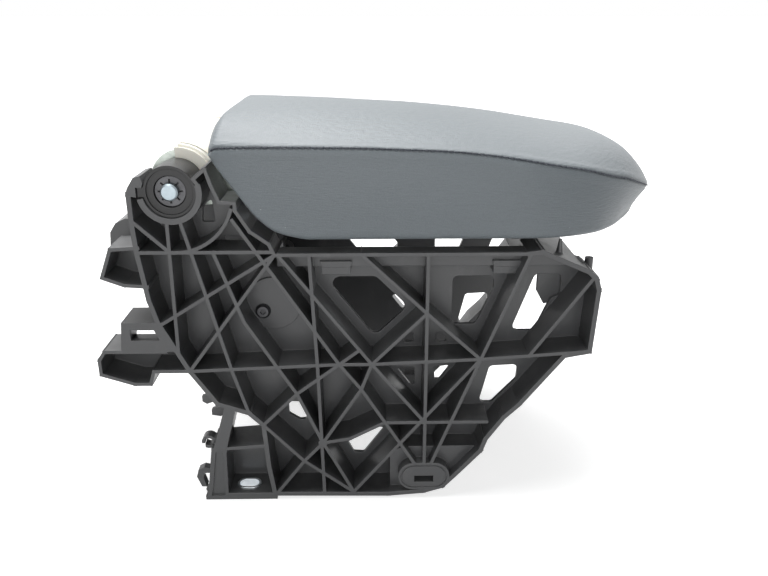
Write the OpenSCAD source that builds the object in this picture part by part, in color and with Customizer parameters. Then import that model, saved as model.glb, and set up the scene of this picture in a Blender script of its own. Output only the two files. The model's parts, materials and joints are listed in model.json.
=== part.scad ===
// Centre armrest for a car: a ribbed moulded stand made of two mirrored side frames,
// a hinge carrier that turns about a steel pin at the top rear corner, and an
// upholstered lid that slides on the carrier. Millimetres. X points to the lid's
// nose, Z is up, and the stand is symmetrical about Y = 0.

/* [Stand] */
// Width of the stand over the outer rib edges
stand_w = 188; // [170:1:210]
// How far the ribs stand out from the web of each side frame
rib_depth = 23.5; // [15:0.5:30]
// Thickness of each side frame's web
web_t = 3; // [2:0.5:4]
// Thickness of the lattice ribs
rib_t = 2.2; // [1.6:0.1:3]
// Thickness of the wall round the outline
edge_t = 3; // [2:0.1:4]
// Height of the rim that the lid closes over
rim_z = 176; // [150:1:200]

/* [Hinge] */
// Height of the hinge pin above the floor
pin_z = 215; // [200:1:230]
// Diameter of the steel hinge pin
pin_d = 10.5; // [8:0.5:14]
// Outer radius of the open seat that holds the pivot bush
seat_r = 19.5; // [17:0.5:23]
// Outer radius of the pivot bush
bush_r = 15.8; // [13:0.1:18]
// Radius of the hinge barrel that turns on the pin
barrel_r = 15; // [12:0.5:17]
// Radial running clearance of the barrel and the arms on the pin
pin_play = 0.06; // [0.03:0.01:0.1]

/* [Lid] */
// Lid length from the rear edge to the nose
lid_l = 290; // [260:1:310]
// Lid width across the side panels
lid_w = 188; // [160:1:210]
// Height of the lid's lower edge when closed
lid_bottom_z = 185; // [180:1:195]
// Highest point of the crowned top
lid_top_z = 258; // [235:1:270]
// Foam and cover thickness over the core
pad_t = 12; // [8:1:16]
// Travel of the lid along its rails
slide_travel = 60; // [40:5:80]

/* [Fixings] */
// Length of the slotted hole in each foot
slot_l = 13.5; // [10:0.5:18]
// Width of the slotted hole in each foot
slot_w = 8.5; // [6:0.5:10]
// Head diameter of the pan head screws
screw_head_d = 10; // [8:0.5:12]
// Wall thickness of the clips and brackets
clip_t = 2.2; // [1.5:0.1:3]

/* [Hidden] */
$fn = 64;

// The part stands on its feet, with the origin below the middle of its box.
rear_x = -56;             // rear end of the lower clips, from the pin axis
lid_x = 24;               // rear edge of the lid, from the pin axis
nose_x = lid_x + lid_l;   // tip of the nose
origin_x = (rear_x + nose_x) / 2;

half_w = stand_w / 2;
web_y = half_w - rib_depth;    // outer face of each web
web_in = web_y - web_t;        // inner face of each web
pin_r = pin_d / 2;
black = [0.07, 0.07, 0.08];
steel = [0.72, 0.74, 0.76];

// Hubs of the rib lattice, as X from the pin axis and Z from the floor
hub_rear = [2, 98];        // rear end of the long waist rib
hub_waist = [98, 102];     // where five ribs cross below the large window
hub_mid = [119, 102];
hub_front = [189, 105];
hub_edge = [259, 110];     // front end of the waist rib
hub_rim = [60, rim_z];     // rear end of the rim
hub_post = [154, 137];     // crossing on the front upright
hub_low = [86, 44];        // eight ribs meet here
hub_elbow = [70, 81];
hub_vee = [112, 84];
hub_knee = [127, 59];
hub_star = [153, 60];
hub_toe = [73, 30];
hub_heel = [47, 58];       // top of the wall over the foot
hub_sole = [106, 5];
boss = [154, 17];      // centre of the oval boss

// Outline of a side frame, from the rear post round the bottom and the front to the hinge
rear_edge = [[-24, 214], [-24, 196], [-23, 178], [-19, 147], [-15, 132], hub_rear,
    [18, 74], [38, 67], hub_heel, [49, 26], [52, 4]];
bottom_edge = [[52, 4], [130, 3], [154, 5], [167, 9], [177, 20], [192, 37], [195, 46],
    [206, 62], [216, 72], [243, 107], hub_edge];
front_edge = [hub_edge, [261, 152], [259, 159], [254, 164], [224, rim_z + 1], [216, rim_z]];
hinge_edge = [hub_rim, [57, 183], [46, 191], [38, 204], [38, 208.5], [29, 209], [25, 219],
    [22, 229], [15, 223], [17, pin_z + 5]];

// Straight ribs between two places of the lattice
ribs = [
    [[-23, 178], [59, 178]], [[-23, 197], [-5, 180]],
    [[-3, 197], [-4, 112]], [[5, 197], [10, 177]], [[10, 177], [29, 98]], [[29, 98], [38, 67]],
    [[23, 178], [39, 132]], [[39, 132], [59, 99]], [[59, 99], hub_elbow],
    [hub_rim, [-14, 130]], [hub_rim, hub_rear], [[36, 198], hub_waist], [[62, rim_z], hub_mid],
    [hub_rim, [216, rim_z]], [hub_rear, hub_waist], [hub_waist, hub_mid],
    [hub_mid, hub_front], [hub_front, hub_edge], [[81, rim_z], [84, 101]], [[84, 101], [86, 5]],
    [[113, rim_z], hub_post], [hub_post, hub_front], [hub_post, hub_mid],
    [[154, rim_z], [154, 28]], [[217, rim_z], [159, 28]], [[257, 160], [220, 107]],
    [[111, 112], hub_waist], [hub_front, hub_sole], [hub_waist, hub_elbow],
    [hub_elbow, hub_heel], [hub_elbow, hub_low], [hub_waist, hub_vee], [hub_vee, [147, 28]],
    [hub_mid, hub_vee], [hub_mid, hub_star], [hub_vee, hub_low], [hub_low, hub_toe],
    [hub_toe, [54, 5]], [hub_knee, [195, 59]], [hub_low, [104, 47]], [[104, 47], hub_knee],
    [hub_low, [93, 31]], [[93, 31], hub_sole], [hub_heel, hub_toe], [hub_toe, hub_sole]
];

// Windows through the web: sharp corners, and the radius that rounds them
windows = [
    [5, [[88.5, 154], [122, 154], [143, 133], [121, 111.5]]],
    [3.5, [[172, 154], [199, 154], [199, 146], [188, 120], [172, 120]]],
    [3.5, [[211.5, 115], [225.5, 155], [243, 155], [243, 140.5], [237, 138], [227.5, 115]]],
    [1.2, [[139, 107], [147, 107], [147, 114], [143, 114]]],
    [1.2, [[162, 107], [170, 107], [166, 114], [162, 114]]],
    [1.5, [[135.5, 88.5], [148, 88.5], [148, 75.5], [145, 75.5]]],
    [1.2, [[161.5, 88.5], [172.5, 90], [165, 79], [161.5, 79]]],
    [3, [[199, 89], [218, 90], [217.5, 79], [201.5, 61], [192.5, 61]]],
    [2, [[61.5, 63], [75.5, 62.5], [73.5, 49], [69, 48.5], [61.5, 53.5]]],
    [1.5, [[101.5, 31], [122.5, 42], [128, 42], [113, 21.5], [106, 22]]],
    [1, [[26, 182], [35, 182], [38, 176], [26, 176]]],
    [1, [[13, 191], [21, 191], [20, 206], [14, 201]]]
];

// The corners of an outline rounded with three facets each
function rounded(p, r) = let (n = len(p)) [for (i = [0:n - 1])
    let (
        a = p[(i + n - 1) % n] - p[i],
        b = p[(i + 1) % n] - p[i],
        u = a / norm(a),
        v = b / norm(b),
        half = acos(u * v) / 2,
        d = min(r / tan(half), norm(a) / 2.2, norm(b) / 2.2),
        c = p[i] + (u + v) / norm(u + v) * d / cos(half),
        s = p[i] + u * d - c,
        e = p[i] + v * d - c,
        turn = 180 - 2 * half
    )
    for (k = [0:3]) c + (s * sin(turn * (1 - k / 3)) + e * sin(turn * k / 3)) / sin(turn)];

// Shared forms

// A plate with a side view of `points`, from y0 to y1
module plate(points, y0, y1)
    translate([0, y1, 0]) rotate([90, 0, 0]) linear_extrude(y1 - y0) polygon(points);

// Side-view shapes given a thickness from y0 to y1
module layer(y0, y1)
    translate([0, y1, 0]) rotate([90, 0, 0]) linear_extrude(y1 - y0) children();

// A strip from a to b in the side view
module strip(a, b, t = rib_t)
    translate(a) rotate(atan2(b[1] - a[1], b[0] - a[0]))
        translate([-t / 2, -t / 2]) square([norm(b - a) + t, t]);

// Strips along a row of places
module walls(points, t = edge_t)
    for (i = [1:len(points) - 1]) strip(points[i - 1], points[i], t);

// A ring sector about the pin in the side view, between two angles under half a turn apart
module arc(r0, r1, a0, a1)
    translate([0, pin_z]) difference() {
        intersection() {
            circle(r1);
            polygon([[0, 0], 2 * r1 * [cos(a0), sin(a0)],
                2.6 * r1 * [cos((a0 + a1) / 2), sin((a0 + a1) / 2)], 2 * r1 * [cos(a1), sin(a1)]]);
        }
        circle(r0);
    }

// A cylinder along Y from y0 to y1, about a place in the side view
module rod(place, r, y0, y1)
    translate([place[0], y1, place[1]]) rotate([90, 0, 0]) cylinder(r = r, h = y1 - y0);

// An upright slot with round ends along X
module slot(length, width, height)
    union() {
        for (s = [-1, 1]) translate([s * (length - width) / 2, 0, 0])
            cylinder(d = width, h = height);
        translate([-(length - width) / 2, -width / 2, 0]) cube([length - width, width, height]);
    }

// Side frames

foot_x = 33;                    // middle of the slotted hole, from the pin axis
foot_y = half_w - 11;           // middle of the slotted hole, from the centre plane
foot_t = 5;                     // thickness of the foot plate
sleeve_t = 1.6;                 // wall of the steel sleeve in the slotted hole

screw_places = [[48, 131]];
step_d = 12;                    // how far the web steps out under the rim

function after_first(v) = [for (i = [1:len(v) - 1]) v[i]];

// Everything that stands out from the web, in the side view
module lattice() {
    walls(rear_edge);
    walls(bottom_edge);
    walls(front_edge);
    walls(hinge_edge, rib_t);
    for (r = ribs) strip(r[0], r[1]);
    // open ring under the bush, and the long curved rib below it
    arc(bush_r, seat_r, 192, 272);
    arc(bush_r, seat_r, 268, 376);
    arc(36, 36 + rib_t, 267, 345);
    // rear post with its rounded head
    polygon([[-26, 213], [-24, 218], [-20, 224], [-16, 225], [-14, 219], [-17, 212]]);
    // foot walls and the solid leg that carries them
    walls([[19, 1.5], [20, 40], [46, 42]], rib_t);
    walls([[6, 1.5], [18, 1.5]]);
    walls([[7, 2], [9, 13], [11, 28], [12.5, 39], [20, 39]]);
    polygon([[22, 71], [29, 69], [21, 38], [12, 38]]);
    translate(hub_low) circle(3);
    // rear clips
    walls([[-22, 181], [-39, 180], [-46, 162], [-33, 157], [-19, 156]], clip_t);
    walls([[-12, 112], [-51, 112], [rear_x + clip_t / 2, 106], [rear_x + clip_t / 2, 96], [-34, 89],
        [-24, 89], [-21, 98], hub_rear], clip_t);
    walls([[-39, 112], [-37, 131], [-14, 131]], clip_t);
    // oval boss
    for (s = [-7, 7]) translate(boss + [s, 0]) circle(10.5);
    translate(boss - [7, 10.5]) square([14, 21]);
}

// The web between the walls, with its windows
module web() difference() {
    union() {
        polygon(concat(rear_edge, after_first(bottom_edge), after_first(front_edge), hinge_edge,
            [[-17, pin_z + 5]]));
        polygon([[12, 40], [47, 42], [54, 4], [52, 0], [6, 0], [9, 13], [11, 28]]);
        polygon([[-20, 181], [-39, 180], [-46, 162], [-33, 157], [-18, 156]]);
        polygon([[-12, 112], [-51, 112], [rear_x, 106], [rear_x, 96], [-34, 89], [-22, 89], [4, 97]]);
        lattice();
    }
    for (w = windows) polygon(rounded(w[1], w[0]));
}

module foot_plate() difference() {
    plate([[18, 0], [53.5, 0], [53.5, foot_t], [18, foot_t]], -half_w, -web_in);
    translate([foot_x, -foot_y, -1])
        slot(slot_l + 2 * sleeve_t, slot_w + 2 * sleeve_t, foot_t + 2);
}

// Upright catch plate of the lower rear clip
module catch_plate() layer(-half_w, -half_w + 4) difference() {
    polygon([[-40, 112], [-38, 132], [-14, 132], [-6, 112]]);
    polygon([[-33, 120], [-33, 127], [-18, 127], [-15, 120]]);
}

// Hooks under the rim, with a sloped lead-in above
module snap_hooks()
    for (x = [87, 195]) {
        plate([[x, 169], [x + 20, 169], [x + 19, 165], [x + 1, 165]], -web_y - step_d - 2.5, -web_y);
        plate([[x + 1, 160], [x + 19, 160], [x + 19, 166], [x + 1, 166]], -web_y - step_d - 1.2, -web_y);
    }

module boss_ring() difference() {
    union() {
        for (s = [-7, 7]) translate(boss + [s, 0]) circle(9);
        translate(boss - [7, 9]) square([14, 18]);
    }
    for (s = [-7, 7]) translate(boss + [s, 0]) circle(7.8);
    translate(boss - [7, 7.8]) square([14, 15.6]);
}

// Clips for the cable that runs down the leg
module foot_clips() {
    difference() {
        rod([8.5, 42], 4.8, -half_w + 6, -half_w + 13);
        rod([8.5, 42], 2.8, -half_w + 5, -half_w + 14);
        plate([[0, 41], [6, 41], [6, 36], [0, 36]], -half_w + 5, -half_w + 14);
    }
    plate([[12, 41], [16, 41], [17, 45], [12, 45]], -half_w + 6, -half_w + 13);
    plate([[9, 59], [22, 63], [22, 57], [15, 54], [9, 55]], -web_y - 4, -web_y);
    plate([[3, 69], [18, 73], [20, 68], [6, 63], [3, 65]], -web_y - 3, -web_y);
    plate([[9, 19], [3, 20.5], [-1, 18.5], [-2.5, 13], [0.5, 5], [4, 5], [2, 12], [3, 16], [9, 16]],
        -half_w + 8, -half_w + 14);
    plate([[9, 1], [4, 0], [3, 3], [9, 5]], -half_w + 8, -half_w + 14);
}

module side_frame()
    translate([-origin_x, 0, 0]) difference() {
        union() {
            layer(-half_w, -web_y) lattice();
            layer(-web_y, -web_in) web();
            foot_plate();
            catch_plate();
            snap_hooks();
            foot_clips();
            // raised pads behind the boss and beside the foot
            layer(-half_w + 8, -web_y) polygon([[131, 4], [131, 32], [142, 36], [190, 36], [176, 20], [166, 9]]);
            layer(-half_w + 1.5, -web_y) polygon([[6, 0], [9, 13], [11, 28], [12, 39], [21, 39], [19, 0]]);
            // the web steps out under the rim
            plate([[60, 165], [253, 165], [253, 167.2], [60, 167.2]], -web_y - step_d, -web_y);
            plate([[60, 165], [60, rim_z], [225, rim_z], [253, 165]], -web_y - step_d, -web_y - step_d + 2.2);
            // pads under the screw heads
            for (p = screw_places) rod(p, 6, -web_y - 1.5, -web_y + 1);
            rod([55, 136], 18, -web_y - 1.5, -web_y + 1);
            // locating spike and peg on the front slope
            translate([238, -half_w + 15, 168]) cylinder(r1 = 3, r2 = 1, h = 13);
            translate([259, -half_w + 21, 152]) cylinder(r = 2.7, h = 15);
        }
        for (p = screw_places) rod(p, 2.6, -web_y - 3, -web_in + 1);
        rod([0, pin_z], bush_r + 0.05, -half_w - 1, -web_in + 1);
        plate([[-19.3, pin_z - 3.1], [-10, pin_z - 3.1], [-10, pin_z + 3.1], [-19.3, pin_z + 3.1]],
            -half_w - 1, -half_w + 7.1);
        // square slot through the boss, and the groove round it
        plate([[147.5, 12.5], [160.5, 12.5], [160.5, 17.5], [147.5, 17.5]], -half_w - 1, -web_in + 1);
        layer(-half_w - 1, -half_w + 0.8) boss_ring();
        // open space behind the stepped rim
        translate([62.5, -web_y - step_d + 2.2, 167.2]) cube([152, step_d + web_t + 1, 20]);
    }

module side_frame_right() color(black) side_frame();

module side_frame_left() color(black) mirror([0, 1, 0]) side_frame();

// Members between the side frames

module front_cross_bar() color(black) translate([-origin_x, 0, 0]) union() {
        plate([[222, 174], [225, 174], [256, 161], [258, 156], [258, 140], [255, 140],
            [255, 155], [253, 158], [224, 170], [222, 170]], -web_in, web_in);
        // broad plate behind the front window
        plate([[228, 142], [233, 133], [246, 136], [246, 160], [228, 166]], -web_in, -web_in + 3);
        plate([[228, 142], [233, 133], [246, 136], [246, 160], [228, 166]], web_in - 3, web_in);
        plate([[218, 174], [222, 174], [222, 158], [218, 158]], -web_in, web_in);
        plate([[213, 172], [226, 172], [225, 174], [213, 174]], -48, 48);
        for (y = [-42:21:42])
            plate([[222, 172], [225, 172], [256, 158], [256, 142], [222, 160]], y - 1, y + 1);
        for (s = [-1, 1]) plate([[218, 174], [236, 168], [236, 158], [218, 158]],
            s * (web_in - 1.5) - 1.5, s * (web_in - 1.5) + 1.5);
}

module upper_rear_bar() color(black) translate([-origin_x, 0, 0]) union() {
        // rounded hood over the rear opening
        plate([[-20, 172], [-52, 170], [-51, 180], [-47, 186], [-41, 189], [-24, 190], [-24, 187],
            [-40, 186], [-45, 183], [-48, 179], [-49, 173], [-20, 175]], -web_in + 12, web_in - 12);
        plate([[-24, 178], [-6, 178], [-6, 181], [-24, 181]], -web_in, web_in);
        plate([[-24, 178], [-21, 178], [-21, 200], [-24, 200]], -web_in, web_in);
        for (s = [-1, 1]) plate([[-22, 179], [-5, 179], [-5, 192], [-12, 198], [-22, 199]],
            s * (web_in - 1.5) - 1.5, s * (web_in - 1.5) + 1.5);
        for (y = [12 - web_in, -20, 17, web_in - 15])
            plate([[-22, 173], [-50, 171], [-49, 179], [-46, 184], [-41, 187], [-22, 188]], y, y + 3);
        for (s = [-1, 1]) plate([[-21, 174], [-24, 174], [-24, 188], [-21, 188]],
            s * (web_in - 8) - 8, s * (web_in - 8) + 8);
}

// Channel behind the lower rear corner
module lower_rear_bar() color(black) translate([-origin_x, 0, 0]) union() {
    plate([[19, 73], [38, 66], [38, 78], [36, 78.7], [36, 69.5], [21, 75], [21, 86], [19, 86.7]],
        -web_in, web_in);
    for (y = [6 - web_in, -28, 26, web_in - 8])
        plate([[20, 73.5], [37, 67.3], [37, 76], [20, 84]], y, y + 2);
}

module middle_tie() color(black) translate([-origin_x, 0, 0]) difference() {
    union() {
        plate([[40, 124], [58, 124], [58, 127], [40, 127]], -web_in, web_in);
        plate([[46.5, 124], [49.5, 124], [49.5, 140], [46.5, 140]], -web_in, web_in);
        for (s = [-1, 1]) rod([48, 131], 7, s * (web_in - 7) - 7, s * (web_in - 7) + 7);
    }
    for (s = [-1, 1]) rod([48, 131], 1.9, s * (web_in - 6) - 7, s * (web_in - 6) + 7);
}

// Pivot

module hinge_pin() color(steel) translate([-origin_x, 0, 0]) {
    rod([0, pin_z], pin_r, -half_w + 1, half_w - 1);
    for (s = [0, 1]) mirror([0, s, 0]) translate([0, half_w - 1, pin_z]) rotate([-90, 0, 0])
        cylinder(r1 = pin_r, r2 = pin_r - 1, h = 1);
}

module pivot_bush() translate([-origin_x, 0, 0]) difference() {
    union() {
        rod([0, pin_z], bush_r, -half_w + 1.5, -web_in);
        // key on the rear side of the rim
        plate([[-19, pin_z - 3], [-19, pin_z + 3], [-14, pin_z + 3], [-14, pin_z - 3]],
            -half_w + 1.5, -half_w + 7);
    }
    rod([0, pin_z], pin_r + 0.03, -half_w, -web_in + 1);
    // stepped dish in the outer face
    rod([0, pin_z], bush_r - 2, -half_w, -half_w + 3);
    rod([0, pin_z], 9.6, -half_w, -half_w + 5.5);
}

module pivot_bush_right() color(black) pivot_bush();

module pivot_bush_left() color(black) mirror([0, 1, 0]) pivot_bush();

module star_washer() translate([-origin_x, 0, 0]) difference() {
    rod([0, pin_z], 9.2, -half_w + 4.2, -half_w + 5.4);
    rod([0, pin_z], pin_r + 0.03, -half_w, -half_w + 7);
    for (a = [0:45:315]) translate([0, -half_w + 3, pin_z]) rotate([0, a, 0])
        translate([-0.5, 0, 0]) cube([1, 4, 7.4]);
}

module star_washer_right() color([0.12, 0.12, 0.13]) star_washer();

module star_washer_left() color([0.12, 0.12, 0.13]) mirror([0, 1, 0]) star_washer();

// Fixings

module foot_sleeve() translate([foot_x - origin_x, -foot_y, 0]) difference() {
    slot(slot_l + 2 * sleeve_t - 0.1, slot_w + 2 * sleeve_t - 0.1, foot_t + 0.8);
    translate([0, 0, -1]) slot(slot_l, slot_w, foot_t + 3);
}

module foot_sleeve_right() color(steel) foot_sleeve();

module foot_sleeve_left() color(steel) mirror([0, 1, 0]) foot_sleeve();

module frame_screw(place) translate([place[0], -web_y - 1.5, place[1]]) rotate([90, 0, 0])
    difference() {
        union() {
            translate([0, 0, -12]) cylinder(d = 3.6, h = 12.5);
            cylinder(r = screw_head_d / 2, h = 1);
            translate([0, 0, 0.9]) cylinder(r1 = screw_head_d / 2, r2 = 3.6, h = 1.8);
        }
        translate([0, 0, 1]) cylinder(r = 1.9, h = 3, $fn = 6);
    }

module frame_screws() color([0.2, 0.2, 0.21]) translate([-origin_x, 0, 0])
    for (s = [0, 1]) mirror([0, s, 0]) for (p = screw_places) frame_screw(p);

module lid_buffers() color([0.05, 0.05, 0.05]) translate([-origin_x, 0, 0])
    for (y = [-40, 40]) translate([221, y, 174]) {
        cylinder(r = 5, h = 9);
        cylinder(r = 6.5, h = 2);
    }

// Hinge carrier

rail_y = lid_w / 2 - pad_t - 16;               // middle of each rail
arm_y = min(web_in - 9.5, rail_y - 8);         // middle of each hinge arm
arm_t = 3;
plate_z = 201;                 // underside of the carrier plate
plate_t = 2;
rail_w = 4;
rail_h = 10;
rail_x0 = 46;
rail_x1 = 214;

module hinge_barrel() color(black) translate([-origin_x, 0, 0]) difference() {
    rod([0, pin_z], barrel_r, -web_in + 0.4, web_in - 0.4);
    rod([0, pin_z], pin_r + pin_play, -web_in, web_in);
}

module hinge_saddle() color([0.93, 0.92, 0.87]) translate([-origin_x, 0, 0]) difference() {
    union() {
        layer(-web_in + 1, web_in - 1) arc(barrel_r + 0.4, 22, 22, 94);
        layer(-web_in + 4, web_in - 4) arc(20, 23.5, 35, 90);
    }
    for (s = [-1, 1]) plate([[-8, pin_z - 4], [40, pin_z - 10], [40, pin_z + 12], [-8, pin_z + 32]],
        s * arm_y - arm_t / 2 - 0.3, s * arm_y + arm_t / 2 + 0.3);
}

rivet_places = [[47, 207], [66, 207]];
rivet_r = 2.4;

// Steel arm: a ring pressed on the barrel, and a tapered plate that runs into the lid
module hinge_arm(y) translate([-origin_x, 0, 0]) difference() {
    union() {
        rod([0, pin_z], barrel_r + 4.5, y - arm_t / 2, y + arm_t / 2);
        plate([[0, pin_z + 17], [12, pin_z + 17.5], [24, 229], [42, 225], [62, 216], [72, 210],
            [72, 203.2], [40, 203.2], [26, 200], [10, pin_z - 16], [0, pin_z - 17]],
            y - arm_t / 2, y + arm_t / 2);
    }
    rod([0, pin_z], barrel_r + 0.03, y - arm_t, y + arm_t);
    plate([[19, 205], [28, 205], [24, 213]], y - arm_t, y + arm_t);
    for (p = rivet_places) rod(p, rivet_r + 0.02, y - arm_t, y + arm_t);
}

module hinge_arm_right() color([0.6, 0.62, 0.62]) hinge_arm(-arm_y);

module hinge_arm_left() color([0.6, 0.62, 0.62]) hinge_arm(arm_y);

module carrier_plate() color([0.3, 0.31, 0.32]) translate([-origin_x, 0, 0]) difference() {
    union() {
        translate([41, 2 - rail_y, plate_z]) cube([rail_x1 - 41, 2 * rail_y - 4, plate_t]);
        // pressed beads along the plate
        for (y = [-24, 0, 24]) translate([60, y - 2, plate_z + 1]) cube([130, 4, 3]);
        // turned-up lips beside the arms
        for (s = [-1, 1]) translate([41, s * (arm_y + 2.6) - 1, plate_z]) cube([33, 2, 11]);
    }
    for (x = [90, 140]) for (s = [-1, 1]) translate([x, s * 42, plate_z - 1])
        cylinder(r = 6, h = 5);
    for (p = rivet_places) rod(p, rivet_r + 0.02, -arm_y - 8, arm_y + 8);
}

module slide_rail(y) translate([rail_x0 - origin_x, y - rail_w / 2, plate_z + 1 - rail_h / 2])
    cube([rail_x1 - rail_x0, rail_w, rail_h]);

module slide_rail_right() color(steel) slide_rail(-rail_y - 0.05);

module slide_rail_left() color(steel) slide_rail(rail_y + 0.05);

module arm_rivets() color(steel) translate([-origin_x, 0, 0])
    for (s = [0, 1]) mirror([0, s, 0]) for (p = rivet_places) {
        rod(p, rivet_r, arm_y - 2.6, arm_y + 4.8);
        rod(p, 3.6, arm_y - 3, arm_y - 1.55);
        rod(p, 3.6, arm_y + 3.65, arm_y + 5);
    }

// Lid

nose_start = lid_x + 198 / 290 * lid_l;    // where the sides begin to curve in
nose_r = nose_x - nose_start;
nose_end = nose_x - 0.4;

// Forms of a lid 290 long and 73 high, from its rear edge and its underside, that stretch with it
crown = [[0, 68], [3, 71.5], [6, 73], [41, 73], [68, 72], [96, 70.5], [115, 69.5], [149, 66.5],
    [183, 62.5], [206, 59], [225, 56], [238, 54], [247, 52], [258, 48.5], [268, 44], [276, 39],
    [282, 34], [286, 29], [288, 25], [290, 20]];
seam = [[0, 53], [5, 56], [26, 56.5], [86, 56], [115, 54.5], [141, 53], [170, 49], [188, 46.5],
    [204, 44], [225, 39.5], [244, 34.5], [256, 30.5], [268, 25.5], [279, 21], [290, 16]];
edge = [[0, 51], [4, 45], [9, 37.5], [17, 26], [26, 14], [37, 5], [46, 2], [58, 0], [246, 0],
    [256, 1.5], [266, 5], [276, 9], [284, 12], [290, 14]];
tuck = [[226, 0], [234, 1], [241, 5], [248, 10], [256, 17], [266, 24], [276, 24], [284, 14], [290, 2]];

function along(x) = (x - lid_x) * 290 / lid_l;
function height(x, form) = lid_bottom_z + lookup(along(x), form) * (lid_top_z - lid_bottom_z) / 73;
function crown_z(x) = height(x, crown);
function seam_z(x) = height(x, seam);
function edge_z(x) = height(x, edge);

// Half width of the lid at its seam and at its lower edge, at a station along X
function lid_half(x) = x <= nose_start
    ? lid_w / 2 - lookup(x, [[lid_x, 5], [27, 2.2], [33, 0.6], [42, 0]])
    : lid_w / 2 * sqrt(max(0, 1 - pow((x - nose_start) / nose_r, 2)));
function foot_half(x) = max(0.3 * lid_half(x), lid_half(x) - lookup(along(x), tuck));

hollow_x = 250;                // front end of the hollow under the pad
hollow_w = lid_w / 2 - pad_t;
crown_n = 8;                   // places from the middle of the crown to its side

// The hollow under the pad at a station: half width, height at its sides, height in its middle
function hollow_at(x, gap) = let (b = edge_z(x))
    [min(hollow_w, lid_half(x) - pad_t) - gap,
        max(b + 1, seam_z(x) - 8 - gap), max(b + 2, crown_z(x) - pad_t - gap)];

// Crown over a half width w, from the side height s to the middle height c
function crown_row(x, w, s, c) = [for (i = [-crown_n:crown_n]) let (t = sin(90 * i / crown_n))
    [x, w * t, s + (c - s) * (1 - pow(abs(t), 2.6))]];

// An arch that stands on the height b
function bow(x, w, b, s, c) = concat([for (i = [0:2]) [x, -w, b + (s - b) * i / 3]],
    crown_row(x, w, s, c), [for (i = [2:-1:0]) [x, w, b + (s - b) * i / 3]]);

// The same number of places laid almost flat, where a section is solid
function flat_bow(x, w, b) = let (n = crown_n + 3)
    [for (i = [-n:n]) [x, w * i / n, b + 0.03 * (n - abs(i))]];

// Outer skin of the pad: rounded lower corners, side panels and crown
function pad_skin(x) = let (w = lid_half(x), f = foot_half(x), b = edge_z(x), s = seam_z(x),
        k = min(3, (s - b) / 3, f / 4))
    concat([[x, 2 * k - f, b], [x, k / 2 - f, b + k * 0.7], [x, -f, b + 2 * k]],
        crown_row(x, w, s, crown_z(x)),
        [[x, f, b + 2 * k], [x, f - k / 2, b + k * 0.7], [x, f - 2 * k, b]]);

function pad_inside(x) = let (b = edge_z(x), h = hollow_at(x, 0))
    x <= hollow_x ? bow(x, h[0], b, h[1], h[2]) : flat_bow(x, max(0.2, 0.7 * foot_half(x)), b);

pad_stations = concat([24, 26, 29, 33, 37, 44, 52, 61, 70, 92, 116, 139, 156, 173, 195, 212, nose_start],
    [for (i = [1:3]) nose_start + (hollow_x - nose_start) * i / 3],
    [hollow_x + 1],
    [for (i = [1:8]) hollow_x + 1 + (nose_end - hollow_x - 1) * sin(90 * i / 8)]);

// The core is an arch inside the pad's hollow, closed at its front end
core_t = 3;
core_stations = [36, 41, 46, 52, 61, 70, 92, 116, 139, 173, 195, 215, 235, hollow_x - 3.5,
    hollow_x - 3.2, hollow_x - 0.4];
function core_foot(x) = max(188.8, edge_z(x) + 3);
function core_skin(x) = let (b = core_foot(x), h = hollow_at(x, 0.3))
    bow(x, h[0], b, max(h[1], b + 3), max(h[2], b + 5));
function core_inside(x) = let (b = core_foot(x), h = hollow_at(x, 0.3 + core_t))
    x < hollow_x - 3.3 ? bow(x, h[0], b, max(h[1], b + 1), max(h[2], b + 2))
        : flat_bow(x, h[0], b);

// A closed arched shell: outer and inner rows of places, one pair for each station
module shell(outer, inner) {
    n = len(outer[0]);
    m = len(outer);
    r = 2 * n;
    first = [for (j = [0:n - 2]) each [[j, j + 1, r - 2 - j], [j, r - 2 - j, r - 1 - j]]];
    last = [for (f = first) [for (k = [2:-1:0]) (m - 1) * r + f[k]]];
    sides = [for (i = [0:m - 2]) for (j = [0:r - 1]) let (k = (j + 1) % r, a = i * r, b = (i + 1) * r)
        each [[a + j, b + j, b + k], [a + j, b + k, a + k]]];
    polyhedron([for (i = [0:m - 1]) each concat(outer[i], [for (j = [n - 1:-1:0]) inner[i][j]])],
        concat(first, last, sides));
}

module lid_pad() color([0.33, 0.36, 0.38]) translate([-origin_x, 0, 0])
    shell([for (x = pad_stations) pad_skin(x)], [for (x = pad_stations) pad_inside(x)]);

module lid_core() color(black) translate([-origin_x, 0, 0])
    shell([for (x = core_stations) core_skin(x)], [for (x = core_stations) core_inside(x)]);

base_stations = [74, 140, nose_start, 230, 240, hollow_x - 2];
base_screws = [[84, 52], [84, -52], [206, 52], [206, -52]];

module lid_base() color(black) translate([-origin_x, 0, 0]) difference() {
    union() {
        translate([0, 0, 186]) linear_extrude(2.5) polygon(concat(
            [for (x = base_stations) [x, hollow_at(x, 0.3)[0]]],
            [for (i = [len(base_stations) - 1:-1:0]) [base_stations[i], -hollow_at(base_stations[i], 0.3)[0]]]));
        // stiffening ribs below and screw posts above
        for (x = [100:30:220]) translate([x, -45, 185.2]) cube([2, 90, 1.5]);
        for (s = [-1, 1]) translate([94, s * 52 - 1, 188]) cube([104, 2, 6]);
        for (p = base_screws) translate([p[0], p[1], 188]) cylinder(r = 4.5, h = 12);
    }
    for (p = base_screws) translate([p[0], p[1], 180]) cylinder(r = 1.85, h = 18);
}

module runner(s) translate([-origin_x, 0, 0]) difference() {
    translate([78, s * (rail_y + 2) - 7, 188.7]) cube([62, 14, 25]);
    // groove for the rail and the edge of the plate
    translate([77, s * rail_y - rail_w / 2 - 0.4, plate_z + 1 - rail_h / 2 - 0.4])
        cube([64, rail_w + 0.8, rail_h + 0.8]);
    translate([77, s * (rail_y - 8) - 8, plate_z - 0.6]) cube([64, 16, plate_t + 1.2]);
}

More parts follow.
